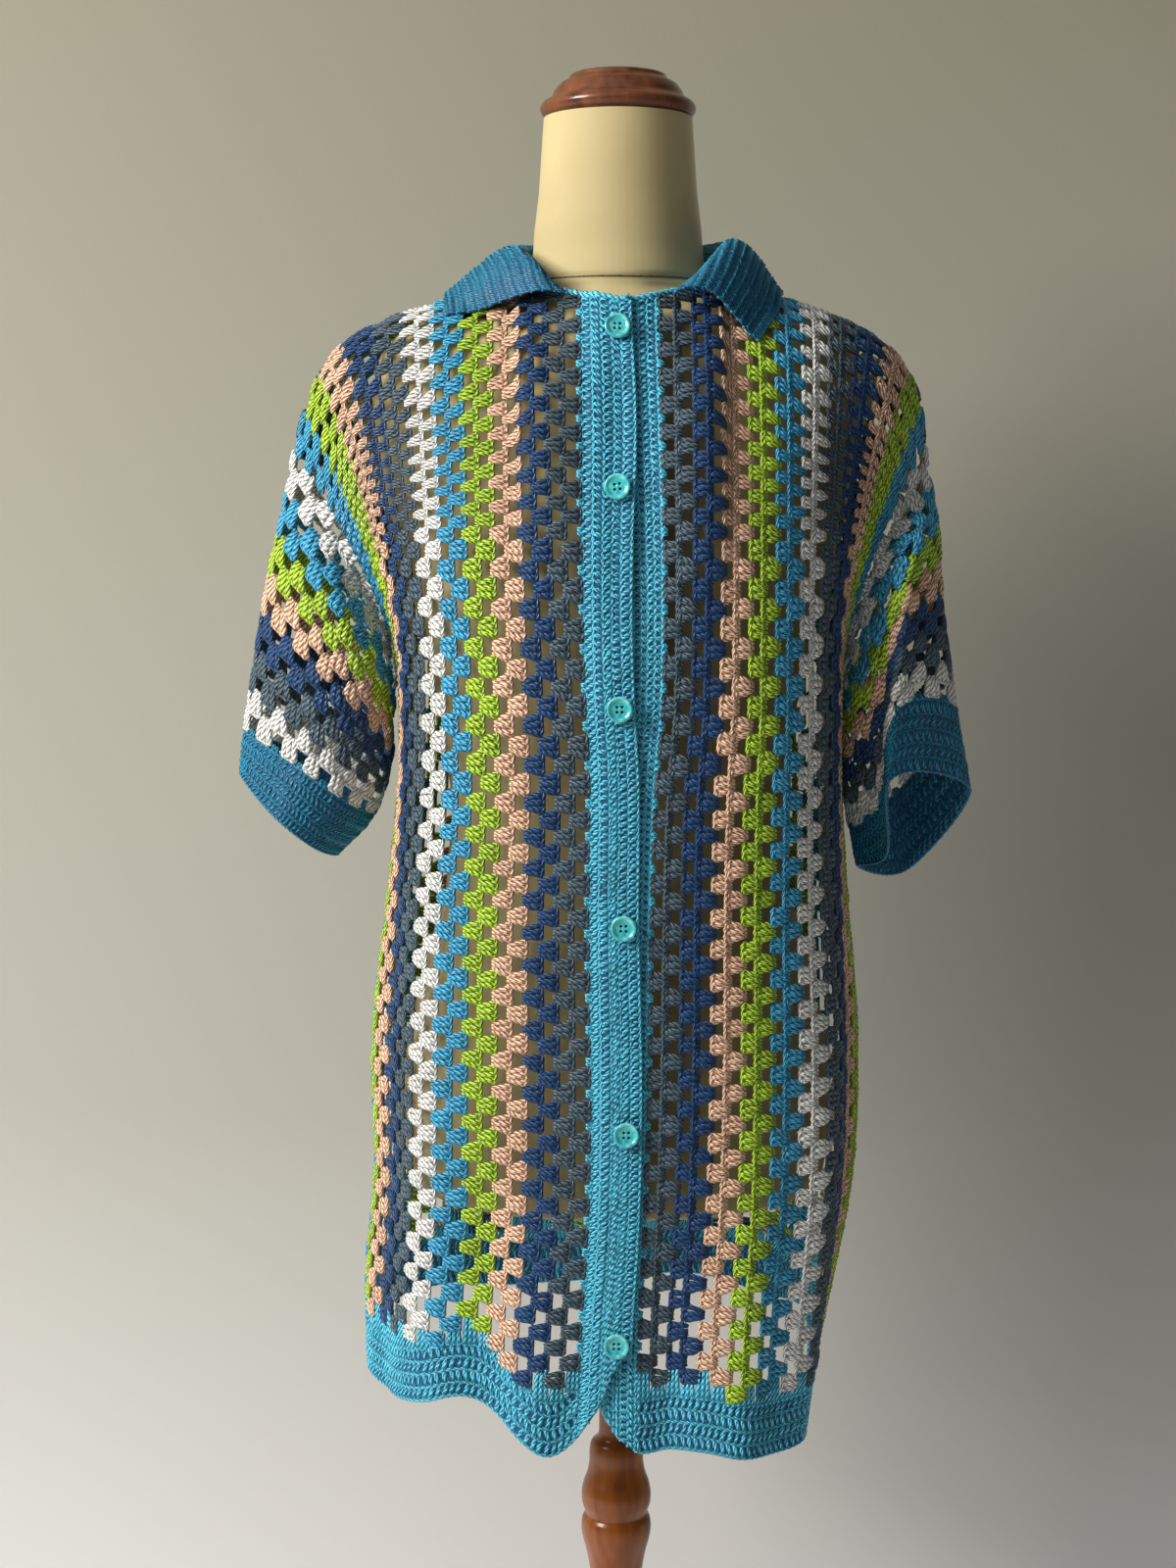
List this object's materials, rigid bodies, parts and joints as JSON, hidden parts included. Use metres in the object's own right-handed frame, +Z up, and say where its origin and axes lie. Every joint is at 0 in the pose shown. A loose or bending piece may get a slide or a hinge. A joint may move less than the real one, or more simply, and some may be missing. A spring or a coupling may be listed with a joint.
{
  "type": "crochet cardigan on a dress form",
  "caption": "Short-sleeved crochet cardigan with vertical cluster stripes, a fold-over collar and a buttoned front, worn by a limbless dress form on a turned wooden stand.",
  "frame": {"origin": "centre of the underside of the round base, on the floor", "axes": "+X to the wearer's left, +Y from the garment's front to its back, +Z up"},
  "size_m": [0.5165, 0.36, 1.549],
  "materials": {
    "striped_front_cotton": "crochet cotton in two-row stripes of slate, navy, peach, green, turquoise and white",
    "striped_back_cotton": "crochet cotton in the same stripes",
    "striped_sleeve_cotton": "crochet cotton in rings of the same colours",
    "azure_cotton": "dense azure crochet rows",
    "aqua_pearl": "pearly aqua, polished",
    "cream_canvas": "cream canvas drawn smooth over the form",
    "dark_stained_wood": "dark stain under gloss varnish",
    "amber_varnished_wood": "amber gloss varnish"
  },
  "bodies": {
    "root": {"form_torso": "cream_canvas", "neck_cap": "dark_stained_wood", "stand_post": "amber_varnished_wood", "stand_base": "amber_varnished_wood", "front_right": "striped_front_cotton", "front_left": "striped_front_cotton", "back": "striped_back_cotton", "hem_front_right": "azure_cotton", "hem_front_left": "azure_cotton", "hem_back": "azure_cotton", "sleeve_right": "striped_sleeve_cotton", "sleeve_left": "striped_sleeve_cotton", "cuff_right": "azure_cotton", "cuff_left": "azure_cotton", "buttonhole_band": "azure_cotton", "button_band": "azure_cotton", "collar": "azure_cotton", "button_1": "aqua_pearl", "button_2": "aqua_pearl", "button_3": "aqua_pearl", "button_4": "aqua_pearl", "button_5": "aqua_pearl", "button_6": "aqua_pearl"}
  },
  "joints": []
}
